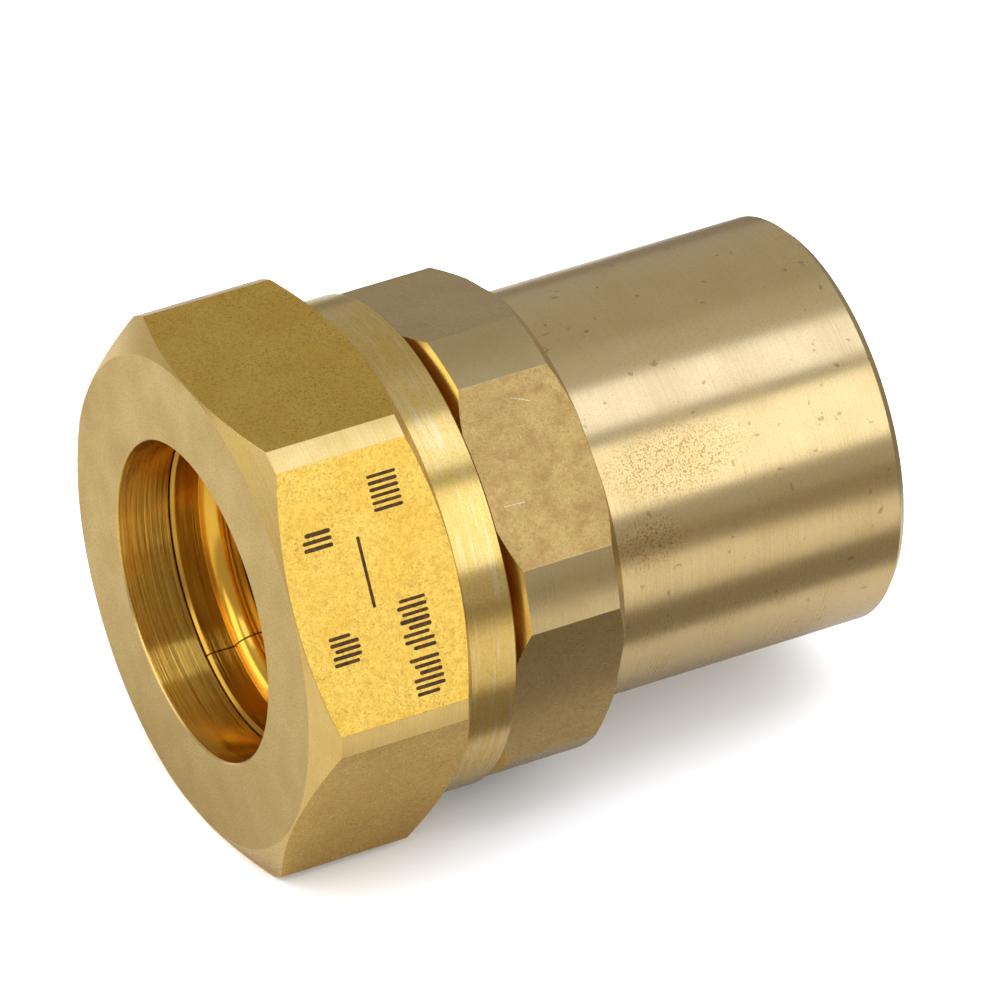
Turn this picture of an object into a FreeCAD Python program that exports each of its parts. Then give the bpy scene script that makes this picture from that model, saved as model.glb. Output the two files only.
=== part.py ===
import FreeCAD, Part
import math
import os

# Flare fitting for corrugated DN15 gas pipe: a hexagon nut and a two-part split ring that
# clamp the pipe, and a body with a pilot insert, a hexagon and a female threaded socket.
# Millimetres. The common axis is X: x = 0 is the nut's front face, where the pipe goes in,
# and +X runs to the socket's open end. +Z is up, with one nut flat facing straight down.

TAN_30 = math.tan(math.radians(30))
TAN_27_5 = math.tan(math.radians(27.5))
FAR = 60.0  # larger than any radius of the fitting
OVERCUT = 0.1  # how far a cutter runs out past the surface it cuts
CHAMFER_CROWN = 0.01  # the hexagons' turned chamfers bulge by this much

# Nut
nut_across_flats = 33.0
nut_corner_r = 18.6  # corners turned down on the lathe
nut_flat_angle = -90.0  # direction of one flat, from +Y towards +Z
nut_face_r = 16.4  # front face out to the chamfer
nut_front_chamfer = 1.17
nut_rear_chamfer = 1.35
nut_hex_end = 11.57
nut_skirt_r = 16.385
nut_length = 14.88
nut_skirt_chamfer = 0.12
pipe_entry_r = 10.7
pipe_entry_edge = 0.12
nut_wall = 3.8  # front wall, whose inner face pushes the split ring
ring_seat_r = 13.1
nut_relief_r = 14.2
nut_relief = (7.3, 8.9)

# Joining thread between nut and body, M28 x 1.5
thread_pitch = 1.5
thread_pitch_r = 13.513
thread_nut_minor_r = 13.19
thread_nut_root_r = 14.1
thread_body_major_r = 13.96
thread_body_root_r = 13.06
thread_flank_play = 0.03  # added to each side of each groove
thread_body_start = 9.0

# Split ring, two halves
ring_front = 3.85
ring_rear = 9.4
ring_bore_r = 10.5
ring_outer_r = 13.0
ring_edge = 0.2
ring_rear_edge = 0.3
rib_front = 5.8
rib_width = 2.7
rib_height = 1.1  # rounded rib that drops into a valley of the pipe
flare_start = 8.6
split_angle = -58.0
split_gap = 0.06

# Body
nose_front = 8.5
nose_r = 9.5
seat_face = 9.95
shoulder = 15.1
body_across_flats = 30.0
body_corner_r = 16.2
body_flat_angle = -105.4
body_hex_face_r = 15.15
body_hex_front_chamfer = 0.95
body_hex_end = 23.23
body_hex_rear_r = 15.2
body_hex_rear_chamfer = 0.82
thread_chamfer = 1.0
relief_neck_r = 12.9
relief_neck_start = 13.7
relief_neck_slope = 0.5
socket_r = 13.65
socket_end = 44.85
socket_edge = 0.6
socket_root_fillet = 0.4
flow_bore_r = 7.0

# Insert pressed into the body's nose
insert_front = 7.6
insert_end = 16.5
pilot_r = 7.5
insert_r = 8.25
insert_bore_r = 6.6
insert_edge = 0.4

# Female pipe thread in the socket, Rp 1/2
port_pitch = 25.4 / 14
port_minor_r = 9.3155
port_pitch_r = 9.8965
port_root_r = 10.4775
port_relief_r = 10.65
port_relief_start = 26.4
port_thread_start = 28.4
port_mouth_r = 10.75
port_mouth_chamfer = 1.3


def turned(points, sweep=360, first_angle=0):
    """Solid of revolution about X. points are (x, r) corners, or (x, r, x2, r2) for an arc through two."""
    edges = []
    last = points[0]
    for point in points[1:] + points[:1]:
        here = FreeCAD.Vector(last[-2], 0, last[-1])
        there = FreeCAD.Vector(point[-2], 0, point[-1])
        if len(point) == 4:
            middle = FreeCAD.Vector(point[0], 0, point[1])
            edges.append(Part.Arc(here, middle, there).toShape())
        else:
            edges.append(Part.LineSegment(here, there).toShape())
        last = point
    face = Part.Face(Part.Wire(edges))
    axis = FreeCAD.Vector(1, 0, 0)
    face.rotate(FreeCAD.Vector(0, 0, 0), axis, first_angle)
    return face.revolve(FreeCAD.Vector(0, 0, 0), axis, sweep)


def crowned(x, r, x2, r2):
    """Arc for turned(): a slightly bulged chamfer from (x, r) to (x2, r2), outwards on a left-to-right profile."""
    length = math.hypot(x2 - x, r2 - r)
    across = (-(r2 - r) / length * CHAMFER_CROWN, (x2 - x) / length * CHAMFER_CROWN)
    return ((x + x2) / 2 + across[0], (r + r2) / 2 + across[1], x2, r2)


def hexagon(across_flats, flat_angle, start, end):
    """Hexagonal bar along X, one flat facing flat_angle."""
    corner_r = across_flats / math.sqrt(3)
    corners = []
    for i in range(6):
        angle = math.radians(flat_angle + 30 + 60 * i)
        corners.append(FreeCAD.Vector(start, corner_r * math.cos(angle), corner_r * math.sin(angle)))
    face = Part.Face(Part.makePolygon(corners + corners[:1]))
    return face.extrude(FreeCAD.Vector(end - start, 0, 0))


def helix_turns(pitch, turns, radius, shift):
    """Right-hand helix about Z, as one edge for each turn."""
    edges = []
    for i in range(math.ceil(turns)):
        edge = Part.makeHelix(pitch, pitch * min(1, turns - i), radius).Edges[0]
        edge.translate(FreeCAD.Vector(0, 0, pitch * i + shift))
        edges.append(edge)
    return edges


def thread_groove(pitch, pitch_r, mouth_r, root_r, flank, play, start, turns):
    """Right-hand V groove along X, its middle at x = start where it faces straight down."""

    def half_width(r):
        return pitch / 4 + play + (r - pitch_r) * flank * (1 if mouth_r > root_r else -1)

    def cap(turn):
        angle = 2 * math.pi * turn
        points = []
        for r, shift in corners:
            points.append(FreeCAD.Vector(r * math.cos(angle), r * math.sin(angle), pitch * turn + shift))
        return Part.Face(Part.makePolygon(points + points[:1]))

    corners = []
    for r, side in ((mouth_r, -1), (root_r, -1), (root_r, 1), (mouth_r, 1)):
        corners.append((r, side * half_width(r)))
    helices = [helix_turns(pitch, turns, r, shift) for r, shift in corners]
    faces = [cap(0), cap(turns)]
    for helix, neighbour in zip(helices, helices[1:] + helices[:1]):
        for edge, next_edge in zip(helix, neighbour):
            faces.append(Part.makeRuledSurface(edge, next_edge))
    shell = Part.makeShell(faces)
    shell.sewShape()
    groove = Part.Solid(shell)
    if groove.Volume < 0:
        groove.reverse()
    groove.rotate(FreeCAD.Vector(0, 0, 0), FreeCAD.Vector(0, 1, 0), 90)
    groove.translate(FreeCAD.Vector(start, 0, 0))
    return groove


def make_nut():
    outside = turned([
        (0, 0),
        (0, nut_face_r),
        crowned(0, nut_face_r, nut_front_chamfer, nut_corner_r),
        (nut_hex_end - nut_rear_chamfer, nut_corner_r),
        crowned(nut_hex_end - nut_rear_chamfer, nut_corner_r, nut_hex_end, nut_skirt_r),
        (nut_length - nut_skirt_chamfer, nut_skirt_r),
        (nut_length, nut_skirt_r - nut_skirt_chamfer),
        (nut_length, 0),
    ])
    bar = hexagon(nut_across_flats, nut_flat_angle, 0, nut_hex_end)
    skirt = Part.makeCylinder(
        nut_skirt_r, nut_length - nut_front_chamfer, FreeCAD.Vector(nut_front_chamfer, 0, 0),
        FreeCAD.Vector(1, 0, 0),
    )
    mouth = nut_relief_r - thread_nut_minor_r
    hollow = turned([
        (-1, 0),
        (-1, pipe_entry_r + pipe_entry_edge + 1),
        (pipe_entry_edge, pipe_entry_r),
        (nut_wall - pipe_entry_edge, pipe_entry_r),
        (nut_wall, pipe_entry_r + pipe_entry_edge),
        (nut_wall, ring_seat_r),
        (nut_relief[0], ring_seat_r),
        (nut_relief[0], nut_relief_r),
        (nut_relief[1], nut_relief_r),
        (nut_relief[1], thread_nut_minor_r),
        (nut_length - mouth, thread_nut_minor_r),
        (nut_length + 1, nut_relief_r + 1),
        (nut_length + 1, 0),
    ])
    groove_start = thread_body_start - thread_pitch / 2
    turns = (nut_length + thread_pitch - groove_start) / thread_pitch
    groove = thread_groove(
        thread_pitch, thread_pitch_r, thread_nut_minor_r - OVERCUT, thread_nut_root_r,
        TAN_30, thread_flank_play, groove_start, turns,
    )
    return bar.fuse(skirt).common(outside).cut(hollow).cut(groove)


def make_split_ring(side):
    """One half of the ring: side 0 is the lower half, side 1 the upper."""
    flare_depth = ring_rear - flare_start
    rib_centre = rib_front + rib_width / 2
    ring = turned([
        (ring_front, ring_bore_r + ring_edge),
        (ring_front + ring_edge, ring_bore_r),
        (rib_front, ring_bore_r),
        (rib_centre, ring_bore_r - rib_height, rib_front + rib_width, ring_bore_r),
        (flare_start, ring_bore_r),
        (ring_rear, ring_bore_r + flare_depth),
        (ring_rear, ring_outer_r - ring_rear_edge),
        (ring_rear - ring_rear_edge, ring_outer_r),
        (ring_front, ring_outer_r),
    ])
    half_space = Part.makeBox(
        FAR, FAR, 2 * FAR, FreeCAD.Vector(-FAR / 2, split_gap / 2, -FAR)
    )
    turn = split_angle - 90 + 180 * side
    half_space.rotate(FreeCAD.Vector(0, 0, 0), FreeCAD.Vector(1, 0, 0), turn)
    return ring.common(half_space)


def make_insert():
    return turned([
        (insert_front, insert_bore_r),
        (insert_front, pilot_r - insert_edge),
        (insert_front + insert_edge, pilot_r),
        (nose_front, pilot_r),
        (nose_front, insert_r),
        (insert_end, insert_r),
        (insert_end, insert_bore_r),
    ])


def port_drills():
    """The port's tapping hole and its mouth chamfer, as four quarter turns, so each crest is four short faces."""
    profile = [
        (port_thread_start - OVERCUT, 0),
        (port_thread_start - OVERCUT, port_minor_r),
        (socket_end - port_mouth_chamfer, port_minor_r),
        (socket_end, port_mouth_r),
        (socket_end + 1, port_mouth_r),
        (socket_end + 1, 0),
    ]
    return [turned(profile, 90, 90 * i) for i in range(4)]


def make_body():
    nose = turned([
        (nose_front, 0),
        (nose_front, nose_r),
        (seat_face, nose_r + seat_face - nose_front),
        (seat_face, thread_body_major_r - thread_chamfer),
        (seat_face + thread_chamfer, thread_body_major_r),
        (relief_neck_start, thread_body_major_r),
        (relief_neck_start + relief_neck_slope, relief_neck_r),
        (shoulder, relief_neck_r),
        (shoulder, 0),
    ])
    turns = (shoulder + thread_pitch / 2 - thread_body_start) / thread_pitch
    nose = nose.cut(thread_groove(
        thread_pitch, thread_pitch_r, thread_body_major_r + OVERCUT, thread_body_root_r,
        TAN_30, thread_flank_play, thread_body_start, turns,
    ))
    hex_outside = turned([
        (shoulder, 0),
        (shoulder, body_hex_face_r),
        crowned(shoulder, body_hex_face_r, shoulder + body_hex_front_chamfer, body_corner_r),
        (body_hex_end - body_hex_rear_chamfer, body_corner_r),
        crowned(body_hex_end - body_hex_rear_chamfer, body_corner_r, body_hex_end, body_hex_rear_r),
        (body_hex_end, 0),
    ])
    bar = hexagon(body_across_flats, body_flat_angle, shoulder, body_hex_end)
    fillet_middle = socket_root_fillet * (1 - math.sqrt(0.5))
    socket = turned([
        (body_hex_end, 0),
        (body_hex_end, socket_r + socket_root_fillet),
        (body_hex_end + fillet_middle, socket_r + fillet_middle,
         body_hex_end + socket_root_fillet, socket_r),
        (socket_end - socket_edge, socket_r),
        (socket_end, socket_r - socket_edge),
        (socket_end, 0),
    ])
    hollow = turned([
        (nose_front - 1, 0),
        (nose_front - 1, insert_r),
        (insert_end, insert_r),
        (insert_end, flow_bore_r),
        (port_relief_start, flow_bore_r),
        (port_relief_start, port_relief_r),
        (port_thread_start, port_relief_r),
        (port_thread_start, 0),
    ])
    port_start = port_relief_start + port_pitch / 2
    port_turns = (socket_end + port_pitch - port_start) / port_pitch
    port_groove = thread_groove(
        port_pitch, port_pitch_r, port_minor_r - OVERCUT, port_root_r,
        TAN_27_5, 0, port_start, port_turns,
    )
    solid = nose.fuse(bar.common(hex_outside)).fuse(socket).cut(hollow)
    for drill in port_drills():
        solid = solid.cut(drill)
    return solid.cut(port_groove)


PIECES = {
    "nut": make_nut(),
    "split_ring_lower_half": make_split_ring(0),
    "split_ring_upper_half": make_split_ring(1),
    "flare_insert": make_insert(),
    "body": make_body(),
}

os.makedirs("parts", exist_ok=True)
for name, shape in PIECES.items():
    if len(shape.Solids) != 1 or not shape.isValid():
        raise ValueError(f"{name} is not one valid solid")
    shape.Solids[0].exportStep(f"parts/{name}.step")
    print(name, round(shape.Volume, 1), "mm3")
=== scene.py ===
import math
import random

import bmesh
import bpy
from mathutils import Matrix, Vector


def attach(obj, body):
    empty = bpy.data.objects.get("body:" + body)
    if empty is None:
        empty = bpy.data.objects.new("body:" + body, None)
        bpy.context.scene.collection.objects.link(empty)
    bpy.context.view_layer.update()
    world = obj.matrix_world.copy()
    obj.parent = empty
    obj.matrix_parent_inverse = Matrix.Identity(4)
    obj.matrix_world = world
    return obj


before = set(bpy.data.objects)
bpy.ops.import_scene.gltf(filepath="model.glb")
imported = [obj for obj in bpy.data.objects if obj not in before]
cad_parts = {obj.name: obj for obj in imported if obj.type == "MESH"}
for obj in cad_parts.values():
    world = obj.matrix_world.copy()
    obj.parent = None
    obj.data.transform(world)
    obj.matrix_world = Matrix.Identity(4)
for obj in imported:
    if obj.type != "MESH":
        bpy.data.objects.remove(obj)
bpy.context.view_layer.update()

# The row frame is in metres: x = 0 is the nut's front face, +X runs to the socket's end, +Z is up.
# Sizes and places on the fitting are given in millimetres, and angles in degrees.
MM = 0.001
X_AXIS = Vector((1, 0, 0))
NUT_APOTHEM = 16.5
BODY_APOTHEM = 15.0
NUT_FLAT_ANGLE = -90.0
BODY_FLAT_ANGLE = -105.4
MARK_FLAT_ANGLE = NUT_FLAT_ANGLE + 240
BODY_TOP_ANGLE = BODY_FLAT_ANGLE + 180
BODY_SIDE_ANGLE = BODY_FLAT_ANGLE + 240
FLOOR_Z = -NUT_APOTHEM


def around(angle):
    """Unit vector square to X, at an angle in degrees from +Y towards +Z."""
    return Vector((0, math.cos(math.radians(angle)), math.sin(math.radians(angle))))


def compass(azimuth, elevation):
    """Unit vector towards a compass direction: 0 is +Y, 90 is +X."""
    a, e = math.radians(azimuth), math.radians(elevation)
    return Vector((math.sin(a) * math.cos(e), math.cos(a) * math.cos(e), math.sin(e)))


# ---------------------------------------------------------------- materials


class Graph:
    """A material's node tree, built one node at a time."""

    def __init__(self, name):
        self.material = bpy.data.materials.new(name)
        self.material.use_nodes = True
        self.tree = self.material.node_tree
        self.tree.nodes.clear()
        texture = self.add("ShaderNodeTexCoord")
        self.point = self.vector("MULTIPLY", texture.outputs["Object"], [1 / MM] * 3)

    def add(self, kind, inputs=None, **settings):
        node = self.tree.nodes.new(kind)
        for key, value in settings.items():
            setattr(node, key, value)
        for key, value in (inputs or {}).items():
            if isinstance(value, bpy.types.NodeSocket):
                self.tree.links.new(value, node.inputs[key])
            else:
                node.inputs[key].default_value = value
        return node

    def vector(self, operation, a, b=(0, 0, 0)):
        return self.add("ShaderNodeVectorMath", {0: a, 1: b}, operation=operation).outputs[0]

    def dot(self, a, b):
        node = self.add("ShaderNodeVectorMath", {0: a, 1: b}, operation="DOT_PRODUCT")
        return node.outputs["Value"]

    def math(self, operation, a, b=0.0):
        return self.add("ShaderNodeMath", {0: a, 1: b}, operation=operation).outputs[0]

    def noise(self, grain, detail=2.0, roughness=0.5, offset=None):
        """Noise from 0 to 1: grain is how many grains a millimetre holds along x, y and z."""
        place = self.vector("MULTIPLY", self.point, grain)
        if offset is not None:
            place = self.vector("ADD", place, offset)
        node = self.add("ShaderNodeTexNoise", {
            "Vector": place, "Scale": 1.0, "Detail": detail, "Roughness": roughness,
        })
        return node.outputs["Fac"]

    def even_noise(self, grain, **settings):
        """Noise with grains as long as they are wide."""
        return self.noise((grain, grain, grain), **settings)

    def span(self, value, low, high, to_low=0.0, to_high=1.0):
        node = self.add("ShaderNodeMapRange", {
            "Value": value, "From Min": low, "From Max": high, "To Min": to_low, "To Max": to_high,
        })
        return node.outputs["Result"]

    def mix(self, factor, a, b):
        node = self.add("ShaderNodeMix", data_type="RGBA")
        for key, value in ((0, factor), (6, a), (7, b)):
            if isinstance(value, bpy.types.NodeSocket):
                self.tree.links.new(value, node.inputs[key])
            else:
                node.inputs[key].default_value = value if key == 0 else (*value, 1)
        return node.outputs[2]

    def tilted(self, normal, amount, cover):
        """The normal leaning towards -X by amount where cover is 1, as on turning marks' flanks."""
        lean = self.add("ShaderNodeVectorMath", {0: (-amount, 0, 0), 3: cover}, operation="SCALE")
        return self.vector("NORMALIZE", self.vector("ADD", normal, lean.outputs[0]))

    def near(self, centre, reach):
        """1 at a point, falling to 0 at reach (a distance along each of x, y and z)."""
        offset = self.vector("SUBTRACT", self.point, centre)
        offset = self.vector("MULTIPLY", offset, [1 / r for r in reach])
        node = self.add("ShaderNodeVectorMath", {0: offset}, operation="LENGTH")
        return self.span(node.outputs["Value"], 1.0, 0.5)

    def scratch(self, across, points, width=0.035):
        """1 along a thin scratch on a hexagon flat, through (x, distance across) points."""
        x = self.add("ShaderNodeSeparateXYZ", {0: self.point}).outputs[0]
        place = self.add("ShaderNodeCombineXYZ", {0: x, 1: self.dot(self.point, across)}).outputs[0]
        mask = None
        for (x0, s0), (x1, s1) in zip(points, points[1:]):
            length = math.hypot(x1 - x0, s1 - s0)
            along = ((x1 - x0) / length, (s1 - s0) / length, 0)
            sideways = (-along[1], along[0], 0)
            middle = ((x0 + x1) / 2, (s0 + s1) / 2, 0)
            offset = self.vector("SUBTRACT", place, middle)
            part = None
            for direction, limit, edge in ((along, length / 2, 0.08), (sideways, width, width)):
                reach = self.math("ABSOLUTE", self.dot(offset, direction))
                inside = self.span(reach, limit, limit - edge)
                part = inside if part is None else self.math("MULTIPLY", part, inside)
            mask = part if mask is None else self.math("MAXIMUM", mask, part)
        return mask

    def bump(self, height, depth, normal=None):
        """A normal that follows height, whose range from 0 to 1 stands for a depth."""
        inputs = {"Height": height, "Distance": depth * MM, "Strength": 1.0}
        if normal is not None:
            inputs["Normal"] = normal
        return self.add("ShaderNodeBump", inputs).outputs["Normal"]

    def edge_normal(self, radius=0.08):
        """A surface normal that rounds the hard edges a little, so they catch the light."""
        return self.add("ShaderNodeBevel", {"Radius": radius * MM}, samples=6).outputs[0]

    def finish(
        self, colour, roughness, normal, anisotropic=0.0, rotation=0.0, metallic=1.0, specular=0.5,
    ):
        shader = self.add("ShaderNodeBsdfPrincipled", {
            "Base Color": colour, "Roughness": roughness, "Normal": normal,
            "Metallic": metallic, "Specular IOR Level": specular,
            "Anisotropic": anisotropic, "Anisotropic Rotation": rotation,
        })
        if anisotropic:
            tangent = self.add("ShaderNodeTangent", direction_type="RADIAL", axis="X")
            self.tree.links.new(tangent.outputs[0], shader.inputs["Tangent"])
        output = self.add("ShaderNodeOutputMaterial")
        self.tree.links.new(shader.outputs[0], output.inputs[0])
        return self.material


# Colours that age and use lay over clean brass, and one colour of painted shade
TARNISH = (0.34, 0.20, 0.06)
GROOVE_DIRT = (0.44, 0.28, 0.09)
WORN_BRIGHT = (0.93, 0.82, 0.60)
PITTED = (0.46, 0.25, 0.06)
STRAY_SPOT = (0.30, 0.19, 0.07)
# painted shade, laid on brass in gaps and behind ribs where shade falls
PAINTED_SHADE = (0.30, 0.12, 0.012)
DARK_SPECK = (0.20, 0.12, 0.04)
BROWN_PATCH = (0.38, 0.21, 0.07)
BARE_SCRATCH = (0.98, 0.92, 0.78)

# Depths of relief that only light shows
BROAD_GROOVES = 0.0012
FINE_GROOVES = 0.0007
TUMBLED_GRAIN = 0.003
SCRATCH_DEPTH = 0.01
FEED_MARK_TILT = 0.38


def turned_brass(
    name, base, deep, roughness=0.25, anisotropic=0.8, lines=1.0, streaks=0.0, pits=(),
    mottle=0.16, feed=0.0, painted_shade_span=None,
):
    """Lathe-turned brass: fine grooves round the axis, cloudy tarnish, and what's asked for.

    lines is the grooves' strength, and streaks the strength of bright wear along them. pits are
    pitted places (centre, reach), feed is the share of turning marks that catch the light, and the
    last argument gives the (x from, x to) over which painted shade, darkest at x from, fades out.
    """
    g = Graph(name)
    fine = g.noise((11.0, 0.1, 0.1), detail=3.0)
    broad = g.noise((2.2, 0.06, 0.06), offset=(7, 3, 1))
    cloud = g.even_noise(0.3, detail=3.0, offset=(3, 9, 4))
    grain = g.even_noise(6.5, offset=(1, 5, 2))
    colour = g.mix(g.span(cloud, 0.35, 0.7), base, deep)
    colour = g.mix(g.span(grain, 0.45, 0.75, 0.0, mottle), colour, TARNISH)
    colour = g.mix(g.span(fine, 0.5, 0.8, 0.0, 0.22 * lines), colour, GROOVE_DIRT)
    if streaks:
        worn = g.noise((4.5, 0.30, 0.30), offset=(2, 6, 9))
        colour = g.mix(g.span(worn, 0.52, 0.74, 0.0, streaks), colour, WORN_BRIGHT)
    if pits:
        where = None
        for centre, reach in pits:
            spot = g.near(centre, reach)
            where = spot if where is None else g.math("MAXIMUM", where, spot)
        dots = g.even_noise(7.5, detail=1.0, offset=(11, 2, 8))
        dotted = g.math("MULTIPLY", g.span(dots, 0.53, 0.62, 0.0, 0.85), where)
        colour = g.mix(dotted, colour, PITTED)
        few = g.even_noise(1.6, detail=1.0, offset=(5, 5, 5))
        colour = g.mix(g.span(few, 0.72, 0.76, 0.0, 0.5), colour, STRAY_SPOT)
    # painted shade: the colour darkens towards the span's first x
    if painted_shade_span:
        x = g.add("ShaderNodeSeparateXYZ", {0: g.point}).outputs[0]
        colour = g.mix(g.span(x, painted_shade_span[1], painted_shade_span[0], 0.0, 0.9), colour, PAINTED_SHADE)
    wear = g.span(fine, 0.3, 0.8, -0.02, 0.05)
    rough = g.math("ADD", wear, g.span(cloud, 0.3, 0.7, roughness - 0.02, roughness + 0.04))
    normal = g.bump(broad, BROAD_GROOVES * lines, g.edge_normal())
    normal = g.bump(fine, FINE_GROOVES * lines, normal)
    if feed:
        marks = g.noise((150.0, 0.15, 0.15), detail=0.0, offset=(6, 1, 3))
        edge = 0.70 - 0.4 * feed
        normal = g.tilted(normal, FEED_MARK_TILT, g.span(marks, edge, edge + 0.04))
    return g.finish(colour, rough, normal, anisotropic, rotation=0.25)


def flat_brass(
    name, base, deep, stain, roughness=0.3, specks=0.4, mottle=0.4, patches=0.0, scratches=(),
):
    """Hexagon flats: drawn and lightly tumbled, with mottled grain, specks and brown patches."""
    g = Graph(name)
    grain = g.even_noise(7.5, detail=3.0, roughness=0.6)
    mottled = g.even_noise(2.6, detail=3.0, roughness=0.65, offset=(6, 2, 5))
    cloud = g.even_noise(0.3, detail=3.0, offset=(2, 8, 3))
    dots = g.even_noise(5.5, detail=1.0, offset=(9, 9, 1))
    where = g.even_noise(0.4, detail=1.0, offset=(1, 1, 7))
    colour = g.mix(g.span(cloud, 0.35, 0.68), base, deep)
    colour = g.mix(g.span(mottled, 0.45, 0.72, 0.0, 0.7 * mottle), colour, stain)
    colour = g.mix(g.span(grain, 0.5, 0.68, 0.0, 1.5 * mottle), colour, stain)
    pits = g.math("MULTIPLY", g.span(dots, 0.61, 0.67), g.span(where, 0.35, 0.6))
    colour = g.mix(g.math("MULTIPLY", pits, specks), colour, DARK_SPECK)
    if patches:
        brown = g.even_noise(0.8, detail=4.0, roughness=0.7, offset=(8, 4, 4))
        colour = g.mix(g.span(brown, 0.44, 0.66, 0.0, patches), colour, BROWN_PATCH)
    rough = g.span(mottled, 0.3, 0.7, roughness - 0.04, roughness + 0.05)
    normal = g.bump(mottled, TUMBLED_GRAIN, g.edge_normal())
    normal = g.bump(grain, TUMBLED_GRAIN, normal)
    for flat_angle, points in scratches:
        mark = g.scratch(around(flat_angle - 90), points)
        colour = g.mix(g.math("MULTIPLY", mark, 0.6), colour, BARE_SCRATCH)
        normal = g.bump(mark, -SCRATCH_DEPTH, normal)
    return g.finish(colour, rough, normal)


# Scratches on the body's flats: the flat's angle, then (x, distance across) points
BODY_TOP_SCRATCHES = (
    (BODY_TOP_ANGLE, ((16.28, 1.37), (17.09, -0.19), (17.70, -2.54), (17.82, -5.86))),
)
BODY_SIDE_SCRATCHES = (
    (BODY_SIDE_ANGLE, ((16.30, -1.84), (17.78, -1.93))),
    (BODY_SIDE_ANGLE, ((20.49, -2.91), (20.74, -2.44))),
    (BODY_SIDE_ANGLE, ((19.21, 4.71), (20.50, 4.14))),
)
# Pitted places on the socket: centre and reach
SOCKET_PITS = (((29.0, -10.8, 8.2), (6.5, 2.6, 3.0)), ((26.2, -13.0, 4.0), (3.2, 1.6, 2.6)))

nut_flat = flat_brass(
    "nut_flat_brass", (0.88, 0.57, 0.115), (0.83, 0.51, 0.085), (0.52, 0.28, 0.03),
    roughness=0.29, mottle=0.45, specks=0.42,
)
nut_turned = turned_brass(
    "nut_turned_brass", (0.84, 0.59, 0.21), (0.78, 0.53, 0.16), roughness=0.26, lines=0.7,
)
nut_skirt = turned_brass(
    "nut_skirt_brass", (0.86, 0.60, 0.19), (0.80, 0.54, 0.14), roughness=0.23,
    streaks=0.42, mottle=0.3,
)
nut_face = turned_brass(
    "nut_face_brass", (0.73, 0.53, 0.182), (0.64, 0.445, 0.138), roughness=0.38,
    anisotropic=0.0, mottle=0.5,
)
nut_inside = turned_brass(
    "nut_inside_brass", (0.86, 0.54, 0.09), (0.76, 0.46, 0.07), roughness=0.18,
    anisotropic=0.7, lines=0.12, mottle=0.2, feed=0.42,
)
# painted shade darkens this brass deep in the gap, towards the shoulder from x 15.8 to x 15.15
gap_brass = turned_brass(
    "gap_brass", (0.93, 0.60, 0.13), (0.86, 0.52, 0.09), roughness=0.2,
    anisotropic=0.3, lines=0.5, painted_shade_span=(15.15, 15.8),
)
# painted shade darkens the ring's brass behind its rib, from x 7.3 back to x 8.1 and on
ring_brass = turned_brass(
    "split_ring_brass", (0.90, 0.52, 0.07), (0.86, 0.46, 0.05), roughness=0.17,
    anisotropic=0.2, lines=0.3, mottle=0.08, painted_shade_span=(8.1, 7.3),
)
ring_bore = turned_brass(
    "split_ring_bore_brass", (0.84, 0.43, 0.04), (0.75, 0.37, 0.03), roughness=0.2,
    anisotropic=0.7, lines=0.12, feed=0.25,
)
ring_edge = turned_brass(
    "split_ring_edge_brass", (0.66, 0.38, 0.065), (0.60, 0.33, 0.05), lines=0.3,
)
insert_brass = turned_brass("flare_insert_brass", (0.80, 0.56, 0.20), (0.74, 0.50, 0.18))
body_flat = flat_brass(
    "body_flat_brass", (0.68, 0.50, 0.22), (0.63, 0.45, 0.19), (0.42, 0.28, 0.11),
    specks=0.2, mottle=0.32, scratches=BODY_TOP_SCRATCHES,
)
body_side = flat_brass(
    "body_side_brass", (0.60, 0.405, 0.147), (0.50, 0.33, 0.115), (0.36, 0.205, 0.065),
    roughness=0.27, specks=0.3, patches=0.72, scratches=BODY_SIDE_SCRATCHES,
)
body_under = flat_brass(
    "body_under_brass", (0.58, 0.41, 0.165), (0.52, 0.36, 0.14), (0.36, 0.23, 0.09), specks=0.3,
)
body_turned = turned_brass(
    "body_turned_brass", (0.70, 0.53, 0.26), (0.65, 0.48, 0.22), roughness=0.27,
    anisotropic=0.4, lines=0.6,
)
socket_turned = turned_brass(
    "socket_brass", (0.80, 0.60, 0.29), (0.77, 0.56, 0.26), roughness=0.24,
    lines=0.6, pits=SOCKET_PITS,
)
body_inside = turned_brass(
    "body_inside_brass", (0.80, 0.55, 0.20), (0.74, 0.50, 0.16), roughness=0.3,
)

# Where a piece changes from one finish to the next, always on an edge of its shape
NUT_MOUTH_END = 0.15
NUT_SKIRT_START = 12.0
NUT_OUTSIDE_RADIUS = 14.5
NUT_REAR_START = 14.77
NUT_REAR_FACE = 14.87
NUT_REAR_RADIUS = 15.0
RING_EDGE_END = 4.06
RING_BORE_END = 5.8
SHOULDER_START, SHOULDER_END = 15.05, 16.05
SHOULDER_RADIUS = 13.2
BODY_OUTSIDE_RADIUS = 14.0
SOCKET_START = 23.225
SOCKET_RADIUS = 11.0
CLOSE = 0.01


def assign(node, choose, materials):
    """Gives a CAD node its finishes: choose(centre, normal) names each face's material."""
    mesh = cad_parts[node].data
    mesh.materials.clear()
    for material in materials:
        mesh.materials.append(material)
    index = {material.name: i for i, material in enumerate(materials)}
    for face in mesh.polygons:
        face.material_index = index[choose(face.center / MM, face.normal).name]


def hexagon_flat(centre, normal, apothem):
    return abs(normal.x) < CLOSE and abs(normal.dot(centre) - apothem) < CLOSE


def outward(centre, normal):
    """From -radius, for a face that looks at the axis, to radius, for one that looks away."""
    return normal.y * centre.y + normal.z * centre.z


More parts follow.
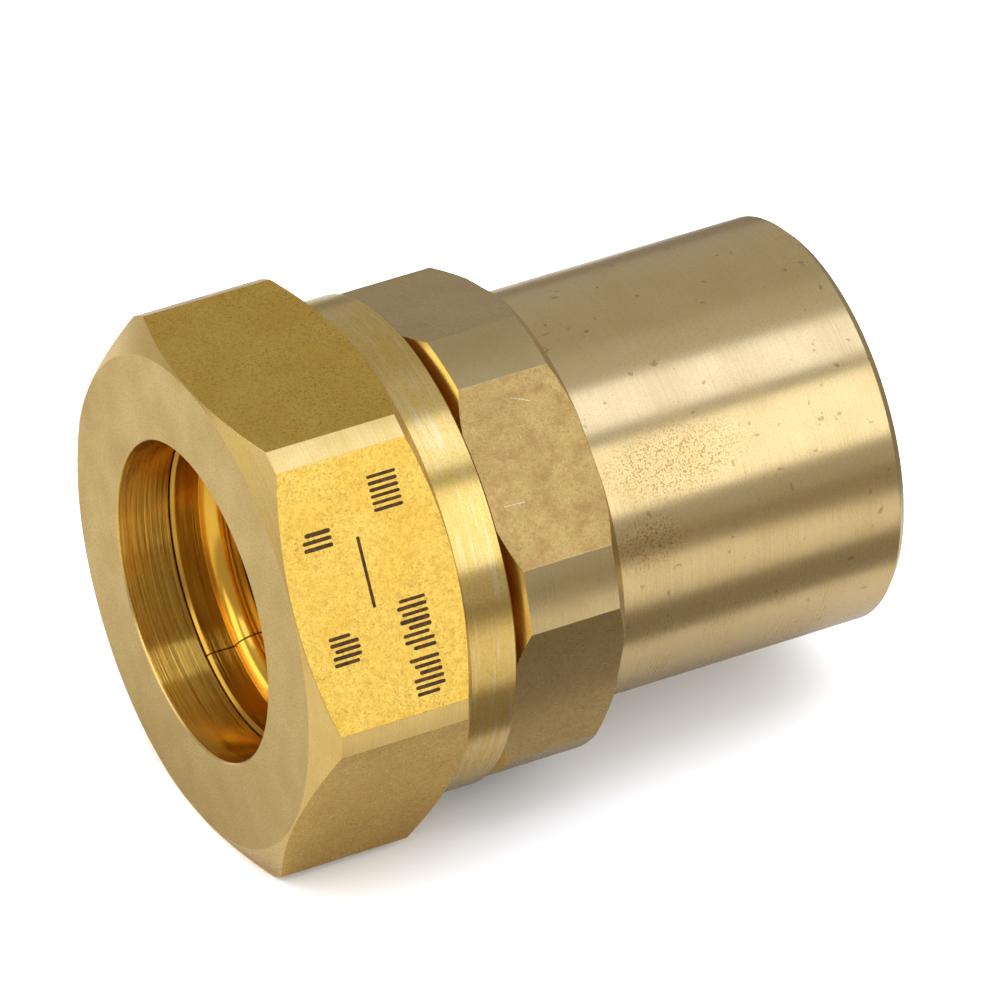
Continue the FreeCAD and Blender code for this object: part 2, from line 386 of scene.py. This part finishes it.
def nut_finish(centre, normal):
    radius = math.hypot(centre.y, centre.z)
    if normal.x < -0.99 and centre.x < CLOSE:
        return nut_face
    if hexagon_flat(centre, normal, NUT_APOTHEM):
        return nut_flat
    if centre.x > NUT_REAR_FACE or (centre.x > NUT_REAR_START and radius > NUT_REAR_RADIUS):
        return gap_brass
    if outward(centre, normal) > 0 and radius > NUT_OUTSIDE_RADIUS:
        return nut_skirt if centre.x > NUT_SKIRT_START else nut_turned
    return nut_turned if centre.x < NUT_MOUTH_END else nut_inside


def ring_finish(centre, normal):
    if centre.x < RING_EDGE_END:
        return ring_edge
    inward = outward(centre, normal) < -0.9 * math.hypot(centre.y, centre.z)
    return ring_bore if inward and centre.x < RING_BORE_END else ring_brass


def body_finish(centre, normal):
    radius = math.hypot(centre.y, centre.z)
    if hexagon_flat(centre, normal, BODY_APOTHEM):
        if normal.dot(around(BODY_SIDE_ANGLE)) > 0.99:
            return body_side
        return body_under if normal.z < -0.1 else body_flat
    if centre.x > SOCKET_START and radius > SOCKET_RADIUS:
        return socket_turned
    if SHOULDER_START < centre.x < SHOULDER_END and radius > SHOULDER_RADIUS:
        return gap_brass
    return body_turned if radius > BODY_OUTSIDE_RADIUS else body_inside


def insert_finish(centre, normal):
    return insert_brass


assign("nut", nut_finish, [nut_flat, nut_turned, nut_skirt, nut_face, nut_inside, gap_brass])
assign("body", body_finish, [
    body_flat, body_side, body_under, body_turned, socket_turned, gap_brass, body_inside,
])
assign("split_ring_lower_half", ring_finish, [ring_brass, ring_edge, ring_bore])
assign("split_ring_upper_half", ring_finish, [ring_brass, ring_edge, ring_bore])
assign("flare_insert", insert_finish, [insert_brass])


# ---------------------------------------------------------------- laser-marked bars on one nut flat

MARK_DEPTH = 0.004
MARK_HEIGHT = 0.010
# Rows of plain bars: (x from, x to, across from, across to, number of bars)
MARK_ROWS = [
    (7.00, 9.05, 4.38, 6.95, 6),
    (1.75, 3.80, 3.12, 4.50, 3),
    (1.92, 3.95, -4.36, -2.25, 5),
    (6.90, 9.00, -4.75, -1.20, 8),
    (6.90, 9.00, -7.65, -5.05, 6),
]
MARK_LINE = (5.38, 5.60, -1.30, 3.36)
BAR_WIDTHS = (0.48, 0.66)  # shares of the bars' pitch
BAR_TRIMS = (0, 0, 0.25, 0.5)
BAR_END_STEPS = 6


def mark_bar(mesh, x0, x1, s0, s1):
    """A thin closed bar on the marked flat, its two far ends rounded."""
    normal = around(MARK_FLAT_ANGLE)
    across = around(MARK_FLAT_ANGLE - 90)
    along_x = x1 - x0 > s1 - s0
    (u0, u1), (v0, v1) = ((x0, x1), (s0, s1)) if along_x else ((s0, s1), (x0, x1))
    half, middle = (v1 - v0) / 2, (v0 + v1) / 2
    outline = []
    for centre, first in ((u1 - half, -90), (u0 + half, 90)):
        for i in range(BAR_END_STEPS + 1):
            angle = math.radians(first + 180 / BAR_END_STEPS * i)
            outline.append((centre + half * math.cos(angle), middle + half * math.sin(angle)))
    if not along_x:
        outline = [(v, u) for u, v in reversed(outline)]
    rings = []
    for lift in (-MARK_DEPTH, MARK_HEIGHT):
        ring = []
        for x, s in outline:
            place = normal * (NUT_APOTHEM + lift) + across * s + x * X_AXIS
            ring.append(mesh.verts.new(place * MM))
        rings.append(ring)
    mesh.faces.new(rings[0])
    mesh.faces.new(rings[1][::-1])
    for i in range(len(outline)):
        j = (i + 1) % len(outline)
        mesh.faces.new((rings[0][i], rings[1][i], rings[1][j], rings[0][j]))


def mark_oxide():
    """The dark oxide a laser leaves, uneven and slightly glossy."""
    g = Graph("laser_mark_oxide")
    patch = g.even_noise(4.0, detail=3.0)
    colour = g.mix(g.span(patch, 0.35, 0.7), (0.024, 0.012, 0.004), (0.07, 0.035, 0.008))
    rough = g.span(patch, 0.3, 0.7, 0.55, 0.75)
    return g.finish(colour, rough, g.bump(patch, 0.004), metallic=0.0, specular=0.12)


def make_marks():
    chance = random.Random(7)
    mesh = bmesh.new()
    for x0, x1, s0, s1, count in MARK_ROWS:
        pitch = (s1 - s0) / count
        for i in range(count):
            width = pitch * chance.uniform(*BAR_WIDTHS)
            start = s0 + pitch * i + (pitch - width) / 2
            trim = chance.choice(BAR_TRIMS)
            trims = (trim, 0) if chance.random() < 0.5 else (0, trim)
            mark_bar(mesh, x0 + trims[0], x1 - trims[1], start, start + width)
    mark_bar(mesh, *MARK_LINE)
    bmesh.ops.recalc_face_normals(mesh, faces=mesh.faces)
    data = bpy.data.meshes.new("nut_mark_bars")
    mesh.to_mesh(data)
    mesh.free()
    data.materials.append(mark_oxide())
    piece = bpy.data.objects.new("nut_mark_bars", data)
    bpy.context.scene.collection.objects.link(piece)
    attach(piece, "nut")


make_marks()


# ---------------------------------------------------------------- floor and light

SHEET_SIZE = 3.0  # metres from the middle to an edge
FLAG_LIFT = 0.2
# card greys: the darker one is painted shadow and shade on the floor's reflections
FLAG_GREY = (0.223, 0.212, 0.194)
FLAG_SHADE = (0.115, 0.104, 0.086)


def stage_sheet(name, height, material):
    """A flat sheet of the set, which isn't part of the fitting."""
    mesh = bmesh.new()
    bmesh.ops.create_grid(mesh, x_segments=8, y_segments=8, size=SHEET_SIZE)
    data = bpy.data.meshes.new(name)
    mesh.to_mesh(data)
    mesh.free()
    data.materials.append(material)
    sheet = bpy.data.objects.new(name, data)
    sheet.location = (0, 0, height * MM)
    bpy.context.scene.collection.objects.link(sheet)
    return sheet


def make_floor():
    g = Graph("floor_paper")
    shade = g.even_noise(0.02)
    colour = g.mix(shade, (0.86, 0.86, 0.855), (0.88, 0.88, 0.875))
    rough = g.span(shade, 0.3, 0.7, 0.85, 0.95)
    stage_sheet("floor", FLOOR_Z, g.finish(colour, rough, g.bump(shade, 0.01), metallic=0.0))


def make_floor_flag():
    """Grey card on the floor that only reflections see, which paints shade into the floor's
    reflections.

    It thins out close to the fitting, and is darker beside it, where it paints the fitting's
    shadow, and past the fitting's end, where it paints darker floor.
    """
    g = Graph("floor_shade_card")
    x, y, z = g.add("ShaderNodeSeparateXYZ", {0: g.point}).outputs
    radius = g.math("SQRT", g.math("ADD", g.math("MULTIPLY", x, x), g.math("MULTIPLY", y, y)))
    far = g.span(radius, 92, 125, 0.72, 1.0)
    # painted shadow of the fitting on the floor, in a band beside it
    strip = g.math("MULTIPLY", g.span(y, -44, -31), g.span(y, -17, -19.5))
    strip = g.math("MULTIPLY", strip, g.span(x, -4, 2))
    # painted shadow beside the fitting, and painted shade past the socket's end
    dark = g.math("MAXIMUM", strip, g.span(x, 62, 75))
    card = g.add("ShaderNodeBsdfDiffuse", {"Color": g.mix(dark, FLAG_GREY, FLAG_SHADE)})
    clear = g.add("ShaderNodeBsdfTransparent")
    cover = g.math("MAXIMUM", far, dark)
    both = g.add("ShaderNodeMixShader", {0: cover, 1: clear.outputs[0], 2: card.outputs[0]})
    g.add("ShaderNodeOutputMaterial", {0: both.outputs[0]})
    flag = stage_sheet("floor_flag", FLOOR_Z + FLAG_LIFT, g.material)
    for kind in ("camera", "diffuse", "transmission", "volume_scatter", "shadow"):
        setattr(flag, "visible_" + kind, False)


def make_light(name, direction, along, distance, size, radiance, colour=(1, 1, 1), glossy=True):
    """A rectangular softbox that faces the fitting, its first side parallel to along.

    distance and size are in metres.
    """
    data = bpy.data.lights.new(name, "AREA")
    data.shape = "RECTANGLE"
    data.size, data.size_y = size
    data.energy = radiance * math.pi * size[0] * size[1]
    data.color = colour
    light = bpy.data.objects.new(name, data)
    across = direction.cross(along).normalized()
    turn = Matrix((across.cross(direction), across, direction)).transposed().to_4x4()
    light.matrix_world = Matrix.Translation(direction * distance) @ turn
    light.visible_glossy = glossy
    bpy.context.scene.collection.objects.link(light)


def mirror_direction(angle):
    """Where a surface turned about X mirrors the camera's view, at an angle round X."""
    along, square = 0.384, 0.923  # the view's direction, split along X and square to it
    return along * X_AXIS + square * around(angle)


make_floor()
make_floor_flag()
make_light(
    "key_softbox", mirror_direction(145), X_AXIS, 1.5, (1.3, 0.95), 1.22, (0.93, 1.0, 1.12),
)
make_light("top_softbox", around(105), X_AXIS, 1.4, (2.6, 0.62), 1.14, (0.84, 0.97, 1.38))
make_light("top_spill", around(80), X_AXIS, 1.4, (2.6, 0.55), 0.12, (0.84, 0.97, 1.3))
make_light(
    "end_softbox", compass(-80, 23), Vector((0, 1, 0)), 1.5, (1.6, 0.62), 1.5, (0.98, 1.0, 1.02),
)
make_light("fill_overhead", compass(-90, 70), X_AXIS, 2.2, (2.4, 2.4), 1.2, glossy=False)

ROOM_GREY = (0.42, 0.42, 0.42, 1)
ROOM_BOUNCE = 4.0

# The room's soft bounce lights the floor more than it shows in reflections.
world = bpy.data.worlds.new("studio")
bpy.context.scene.world = world
world.use_nodes = True
backdrop = world.node_tree.nodes["Background"]
backdrop.inputs["Color"].default_value = ROOM_GREY
bounce = world.node_tree.nodes.new("ShaderNodeMapRange")
bounce.inputs["To Min"].default_value = 1.0
bounce.inputs["To Max"].default_value = ROOM_BOUNCE
path = world.node_tree.nodes.new("ShaderNodeLightPath")
world.node_tree.links.new(path.outputs["Is Diffuse Ray"], bounce.inputs["Value"])
world.node_tree.links.new(bounce.outputs["Result"], backdrop.inputs["Strength"])
bpy.context.scene.view_settings.view_transform = "Standard"


# ---------------------------------------------------------------- camera

CAMERA_AZIMUTH = -27.95
CAMERA_ELEVATION = 34.9
CAMERA_DISTANCE = 760.0
CAMERA_RIGHT = 19.70
CAMERA_UP = 6.526
CAMERA_SENSOR = 36
CAMERA_LENS = 428.9

azimuth, elevation = math.radians(CAMERA_AZIMUTH), math.radians(CAMERA_ELEVATION)
right = Vector((math.cos(azimuth), math.sin(azimuth), 0))
forward = Vector((
    -math.sin(azimuth) * math.cos(elevation),
    math.cos(azimuth) * math.cos(elevation),
    -math.sin(elevation),
))
up = right.cross(forward)
camera_data = bpy.data.cameras.new("camera")
camera_data.sensor_width = CAMERA_SENSOR
camera_data.lens = CAMERA_LENS
camera_data.clip_start = 0.01
camera = bpy.data.objects.new("camera", camera_data)
place = CAMERA_RIGHT * right + CAMERA_UP * up - CAMERA_DISTANCE * forward
turn = Matrix((right, up, -forward)).transposed().to_4x4()
camera.matrix_world = Matrix.Translation(place * MM) @ turn
bpy.context.scene.collection.objects.link(camera)
bpy.context.scene.camera = camera
